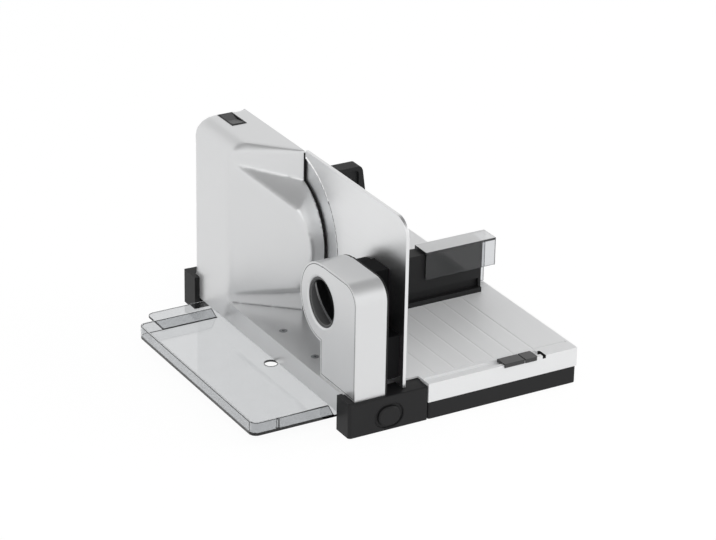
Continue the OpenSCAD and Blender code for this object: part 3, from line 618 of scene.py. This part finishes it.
# %% Silver lacquer
def silver_lacquer(name, tint):
    finish = Finish(name, {"Metallic": 0.6, "Coat Weight": 0.1, "Coat Roughness": 0.3})
    flakes = finish.noise(2600, detail=1)
    cloud = finish.noise(16, detail=3)
    peel = finish.noise(420)
    silver = finish.blend(cloud * 0.5 + flakes * 0.5, shade_of(tint, 0.92), tint)
    finish.drive("Base Color", finish.paint_shade_in_gaps(silver))
    finish.drive("Roughness", 0.27 + flakes * 0.08 + cloud * 0.04)
    finish.bump(peel + flakes * 0.5, depth=0.02 * MM, strength=0.35)
    return finish.material


lacquer = silver_lacquer("silver lacquer", (0.75, 0.755, 0.76))
print("made", lacquer.name)

# %% [markdown]
# ## Moulded plastic
# Base caps, wall and column back are black plastic from an eroded mould: a fine
# matt grain that scatters the light. Noise at about half a millimetre is the grain,
# and a slow, faint cloud keeps large faces from looking printed. The same grain, with
# other tints and gloss, serves the satin lock, the rocker, the coated steel carrier,
# the rubber feet and the nylon gear.


# %% Plastic with a grain
def grained_plastic(name, tint, rough, grain, gloss=0.25):
    finish = Finish(name, {"Specular IOR Level": gloss})
    pits = finish.noise(1500)
    cloud = finish.noise(30)
    finish.drive("Base Color", finish.blend(cloud * 0.6 + pits * 0.4, tint, shade_of(tint, 1.5)))
    finish.drive("Roughness", rough + pits * 0.12)
    finish.bump(pits, depth=grain * MM, strength=0.5)
    return finish.material


matt_black = grained_plastic(
    "matt black plastic", (0.0085, 0.0085, 0.009), rough=0.46, grain=0.03
)
satin_black = grained_plastic(
    "satin black plastic", (0.009, 0.009, 0.0095), rough=0.26, grain=0.012, gloss=0.7
)
rocker_black = grained_plastic(
    "rocker black plastic", (0.03, 0.03, 0.031), rough=0.35, grain=0.01, gloss=0.5
)
coated_black = grained_plastic(
    "black coated steel", (0.005, 0.005, 0.0055), rough=0.6, grain=0.01, gloss=0.1
)
rubber = grained_plastic("foot rubber", (0.012, 0.012, 0.012), rough=0.7, grain=0.05)
nylon = grained_plastic("natural nylon", (0.55, 0.53, 0.47), rough=0.4, grain=0.02)
print("made", matt_black.name, satin_black.name, rocker_black.name, coated_black.name)
print("made", rubber.name, nylon.name)

# %% [markdown]
# ## The knob's plastic
# The knob is one moulding with two surfaces: it has a high gloss, and only the wall of
# the cup is grained and rougher. The wall is also painted far paler than the rest:
# painted light, for the light that reaches the wall while the cup's floor is in shade.
# A second material on the wall would do as well, but a part keeps one finish here, and
# this one reads the wall's mark.


# %% The knob's cup: polished, with a grained wall painted paler as if lit
def cup_plastic(name, polished, wall_painted_lit):
    finish = Finish(name, {"Specular IOR Level": 0.6})
    wall = finish.mark("wall")
    cloud = finish.noise(60)
    # The wall is painted paler than the polished plastic: painted light. Its roughness is the
    # grain.
    finish.drive("Base Color", finish.blend(wall, polished, wall_painted_lit))
    finish.drive("Roughness", 0.14 + wall * 0.4 + cloud * 0.05)
    finish.bump(finish.noise(1500), depth=0.01 * MM, strength=0.3)
    return finish.material


knob_black = cup_plastic("knob plastic", (0.006, 0.006, 0.0065), (0.11, 0.11, 0.112))
print("made", knob_black.name)

# %% [markdown]
# ## Metals with a grain
# The table is brushed along the carriage's travel, and so is the gauge plate, which
# is smoother and mirrors more. Noise that is stretched a hundred times along one
# direction gives such brushed lines. Rod, shafts, screws, bush and rotor are made the
# same way, each metal with its own tint and stretch.


# %% Brushed metal
def brushed(name, tint, rough, stretch, strength=0.25, metallic=1.0):
    finish = Finish(name, {"Metallic": metallic})
    lines = finish.noise(1, detail=3, at=finish.place(stretch))
    cloud = finish.noise(12)
    metal = finish.blend(lines * 0.6 + cloud * 0.4, shade_of(tint, 0.88), tint)
    finish.drive("Base Color", finish.paint_shade_in_gaps(metal))
    finish.drive("Roughness", rough + lines * 0.1 + cloud * 0.04)
    finish.bump(lines, depth=0.01 * MM, strength=strength)
    return finish.material


table_metal = brushed(
    "table aluminium", (0.9, 0.905, 0.91), rough=0.42, stretch=(1800, 14, 1800),
    strength=0.2, metallic=0.25,
)
plate_metal = brushed(
    "plate aluminium", (0.84, 0.845, 0.85), rough=0.26, stretch=(400, 9, 1900), strength=0.12
)
ground_steel = brushed(
    "ground steel", (0.62, 0.63, 0.64), rough=0.25, stretch=(300, 1500, 1500)
)
screw_steel = brushed(
    "screw steel", (0.6, 0.61, 0.62), rough=0.14, stretch=(900, 900, 900), strength=0.1
)
bronze = brushed("bearing bronze", (0.62, 0.44, 0.22), rough=0.3, stretch=(200, 1200, 1200))
rotor_steel = brushed(
    "varnished rotor", (0.42, 0.24, 0.13), rough=0.4, stretch=(1600, 200, 200)
)
print("made", table_metal.name, plate_metal.name, ground_steel.name, screw_steel.name)
print("made", bronze.name, rotor_steel.name)

# %% [markdown]
# ## Blade steel
# The blade is ground while it turns, so its grain runs in circles. Noise that reads
# only the distance from the blade's axis makes rings. One such noise would look as
# even as a screw thread, so a fine one and a broad one are mixed.


# %% Turned metal
def rings(finish, radius, per_metre, shift):
    """Noise that changes only with the radius; the shift picks another stretch of it."""
    place = finish.node("ShaderNodeCombineXYZ", {}, {"X": radius * per_metre, "Y": shift})
    return finish.noise(1, at=place.outputs[0])


def turned(name, tint, rough, centre):
    finish = Finish(name, {"Metallic": 1.0})
    offset = finish.place((0, 1, 1), centre)
    away = finish.node("ShaderNodeVectorMath", {"operation": "LENGTH"}, {0: offset})
    radius = finish.wire(away, "Value")
    fine = rings(finish, radius, per_metre=2600, shift=0.0)
    broad = rings(finish, radius, per_metre=420, shift=5.0)
    grain = fine * 0.5 + broad * 0.5
    cloud = finish.noise(20)
    steel = finish.blend(grain * 0.7 + cloud * 0.3, shade_of(tint, 0.82), tint)
    finish.drive("Base Color", steel)
    finish.drive("Roughness", rough + grain * 0.12)
    finish.bump(grain, depth=0.008 * MM, strength=0.3)
    return finish.material


blade_steel = turned(
    "blade steel", (0.84, 0.85, 0.86), rough=0.32, centre=tuple(blade_axis)
)
print("made", blade_steel.name)

# %% [markdown]
# ## Smoke-coloured plastic
# Tray and remnant holder are clear plastic with a little grey dye. The shader's own
# transmission does most of the work: light bends at both faces of the wall and loses
# a bit of its strength. Two opaque looks are mixed over it, each by an amount: a dark
# one on the faces that carry the edge mark, which is painted shade, and a pale one on
# the holder's flat top, which is a painted sheen for the light from above, so that the
# top does not show the wall under it.


# %% Clear smoke
def clear_smoke(name, tint):
    finish = Finish(name, {"Transmission Weight": 1.0, "IOR": 1.49})
    cloud = finish.noise(40)
    finish.drive("Base Color", finish.blend(cloud, shade_of(tint, 0.94), tint))
    finish.drive("Roughness", 0.03 + cloud * 0.02)
    finish.bump(cloud, depth=0.02 * MM, strength=0.1)
    return finish


def show_over(finish, amount, tint, rough):
    """A second, opaque look that is mixed over the finish by an amount."""
    look = finish.node("ShaderNodeBsdfPrincipled", {}, {"Base Color": tint, "Roughness": rough})
    surface = finish.tree.nodes["Material Output"].inputs["Surface"]
    below = surface.links[0].from_socket
    mixed = finish.node("ShaderNodeMixShader", {}, {0: amount, 1: below, 2: look.outputs[0]})
    feed(finish.tree, surface, mixed.outputs[0])


def paint_edge_shade(finish):
    # Near black over the edge-marked faces: painted shade.
    show_over(finish, finish.mark("edge") * 0.9, (0.02, 0.02, 0.022), rough=0.4)


def paint_sheen_on_top(finish, height):
    split = finish.node("ShaderNodeSeparateXYZ", {}, {0: finish.place()})
    above = finish.wire(split, "Z") > height
    # A pale opaque look on the top few tenths of a millimetre: painted sheen.
    show_over(finish, above * 0.75, (0.86, 0.865, 0.87), rough=0.35)


sheen_paint_depth = 0.2 * MM
smoke = clear_smoke("clear smoke plastic", (0.62, 0.63, 0.64))
paint_edge_shade(smoke)
holder_smoke = clear_smoke("holder smoke plastic", (0.66, 0.67, 0.685))
paint_sheen_on_top(holder_smoke, span("remnant_holder", Z)[1] - sheen_paint_depth)
paint_edge_shade(holder_smoke)
print("made", smoke.material.name, holder_smoke.material.name)

# %% [markdown]
# ## Who wears what
# The record gives each part a material slot, and one finish serves all parts of a
# slot. A few parts differ from their neighbours in the slot, such as the holder with
# the painted sheen on its top, and are dressed by name. A part that has no shown copy
# wears its finish on the CAD mesh itself.

# %% Put each finish on its parts
FINISH_OF_SLOT = {
    "black_plastic": matt_black,
    "knob_plastic": satin_black,
    "silver_plastic": lacquer,
    "silver_lacquer": lacquer,
    "table_aluminium": table_metal,
    "plate_aluminium": plate_metal,
    "blade_steel": blade_steel,
    "bright_steel": ground_steel,
    "screw_steel": screw_steel,
    "rotor_steel": rotor_steel,
    "bush_bronze": bronze,
    "gear_nylon": nylon,
    "foot_rubber": rubber,
    "soft_rubber": rubber,
    "smoke_clear": smoke.material,
}
FINISH_OF_PART = {
    "remnant_holder": holder_smoke.material,
    "thickness_knob": knob_black,
    "power_rocker": rocker_black,
    "push_button": matt_black,
    "plate_carrier": coated_black,
}


def dress(node, part, material):
    if node in pieces:
        pieces[node].data.materials.append(material)
    else:
        for slot in part.material_slots:
            slot.material = material


for node, part in frame["nodes"].items():
    dress(node, part, FINISH_OF_PART.get(node) or FINISH_OF_SLOT[slot_of(node)])
print("dressed", len(frame["nodes"]), "parts,", len(pieces), "of them by a shown copy")

# %% [markdown]
# ## Camera
# The photograph was taken from the front left with a long lens. The straight edges
# of the machine gave the camera's place and direction. They are written here as a
# place in metres and three angles, which say more to a reader than a matrix does.

# %% Camera
CAMERA_AT = Vector((-1.30471, -2.271525, 1.29608))
AZIMUTH = math.radians(-30.2994)
ELEVATION = math.radians(24.7381)
ROLL = math.radians(1.0839)

away_level = Vector((math.sin(AZIMUTH), -math.cos(AZIMUTH), 0))
back = away_level * math.cos(ELEVATION) + Vector((0, 0, math.sin(ELEVATION)))
right = Vector((math.cos(AZIMUTH), math.sin(AZIMUTH), 0))
up = back.cross(right)
rolled_right = right * math.cos(ROLL) + up * math.sin(ROLL)
rolled_up = up * math.cos(ROLL) - right * math.sin(ROLL)
turn = Matrix((rolled_right, rolled_up, back)).transposed().to_4x4()

lens = bpy.data.cameras.new("camera")
lens.sensor_width = 36
lens.lens = 146.06
lens.clip_end = 50
camera = bpy.data.objects.new("camera", lens)
camera.matrix_world = Matrix.Translation(CAMERA_AT) @ turn
bpy.context.scene.collection.objects.link(camera)
bpy.context.scene.camera = camera
print("camera at", [round(v, 3) for v in CAMERA_AT])

# %% [markdown]
# ## The floor
# The machine stands on a white sweep. To the camera, to gloss and to clear plastic
# the floor shows plain white, and to everything else it is a matt surface, so it
# still holds the shadow under the machine.

# %% White sweep
sweep_size = 30
bpy.ops.mesh.primitive_plane_add(size=sweep_size, location=(0, 0, floor_z))
floor = bpy.context.object
floor.name = "floor"

sweep = Finish("white sweep", {"Base Color": (0.9, 0.9, 0.9), "Roughness": 0.9})
glow = sweep.node("ShaderNodeEmission", {}, {"Color": (1, 1, 1), "Strength": 1.04})
path = sweep.node("ShaderNodeLightPath", {}, {})
seen = sweep.wire(path, "Is Camera Ray") + sweep.wire(path, "Is Glossy Ray")
seen = seen + sweep.wire(path, "Is Transmission Ray")
white = sweep.node(
    "ShaderNodeMixShader", {}, {0: seen * 0.9, 1: sweep.shader.outputs[0], 2: glow.outputs[0]}
)
feed(sweep.tree, sweep.tree.nodes["Material Output"].inputs["Surface"], white.outputs[0])
floor.data.materials.append(sweep.material)
print("floor of", sweep_size, "m with", sweep.material.name)

# %% [markdown]
# ## The room and its lamps
# Round the sweep stand white walls, which fade to grey overhead: that is why the faces
# that look up are darker than the upright ones. The camera itself sees only white.
# Two wide, weak lamps, from the front and from the right, soften the shadows.

# %% Surround and lamps
world = bpy.data.worlds.new("white room")
bpy.context.scene.world = world
room = Graph(world)
direction = room.node("ShaderNodeTexCoord", {}, {}).outputs["Generated"]
height = room.wire(room.node("ShaderNodeSeparateXYZ", {}, {0: direction}), "Z")
walls = room.node(
    "ShaderNodeMapRange",
    {"interpolation_type": "SMOOTHSTEP"},
    {"Value": height, "From Min": 0.47, "From Max": 0.88, "To Min": 1.0, "To Max": 0.22},
)
to_camera = room.wire(room.node("ShaderNodeLightPath", {}, {}), "Is Camera Ray")
wall_light = room.wire(walls, "Result")
background = room.tree.nodes["Background"]
feed(room.tree, background.inputs["Color"], (1, 1, 1))
feed(room.tree, background.inputs["Strength"], wall_light + to_camera * (1 - wall_light))

aimed_at = Vector((0, 0, 0.1))


def soft_lamp(name, place, size, watts):
    """A square lamp that looks at the machine."""
    lamp = bpy.data.lights.new(name, "AREA")
    lamp.size = size
    lamp.energy = watts
    stand = bpy.data.objects.new(name, lamp)
    stand.location = place
    stand.rotation_euler = (aimed_at - Vector(place)).to_track_quat("-Z", "Y").to_euler()
    bpy.context.scene.collection.objects.link(stand)
    return stand


lamps = [
    soft_lamp("front lamp", place=(-0.8, -1.8, 2.7), size=2.6, watts=22),
    soft_lamp("right lamp", place=(2.4, -1.2, 1.2), size=1.8, watts=14),
]
bpy.context.scene.view_settings.view_transform = "Standard"
print("lamps:", ", ".join(lamp.name for lamp in lamps))

# %% [markdown]
# ## Sizes
# Softer edges must not make the machine bigger than its CAD model.
